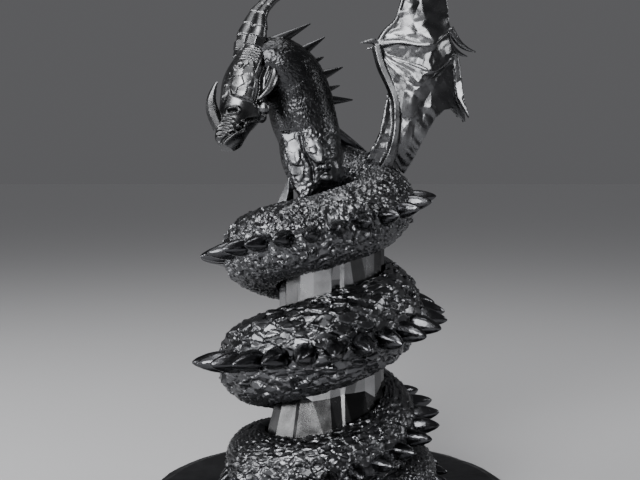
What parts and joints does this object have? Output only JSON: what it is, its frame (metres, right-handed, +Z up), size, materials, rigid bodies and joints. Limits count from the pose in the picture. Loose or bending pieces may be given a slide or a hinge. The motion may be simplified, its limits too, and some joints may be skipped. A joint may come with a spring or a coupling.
{
  "type": "dragon statue",
  "caption": "Metal statue of a horned dragon with raised wings, its spiked body coiled round a faceted column that stands on a low round base.",
  "frame": {"origin": "middle of the base's underside, on the column's axis", "axes": "+Z up, -Y towards the front of the statue, +X to the right as seen from the front"},
  "size_m": [0.266, 0.266, 0.4192],
  "materials": {
    "dragon": "dark gunmetal patina, satin gloss",
    "column": "dark gunmetal patina, satin gloss",
    "base": "dark gunmetal patina, satin"
  },
  "bodies": {
    "root": {"dragon": "dragon", "column": "column", "base": "base"}
  },
  "joints": []
}
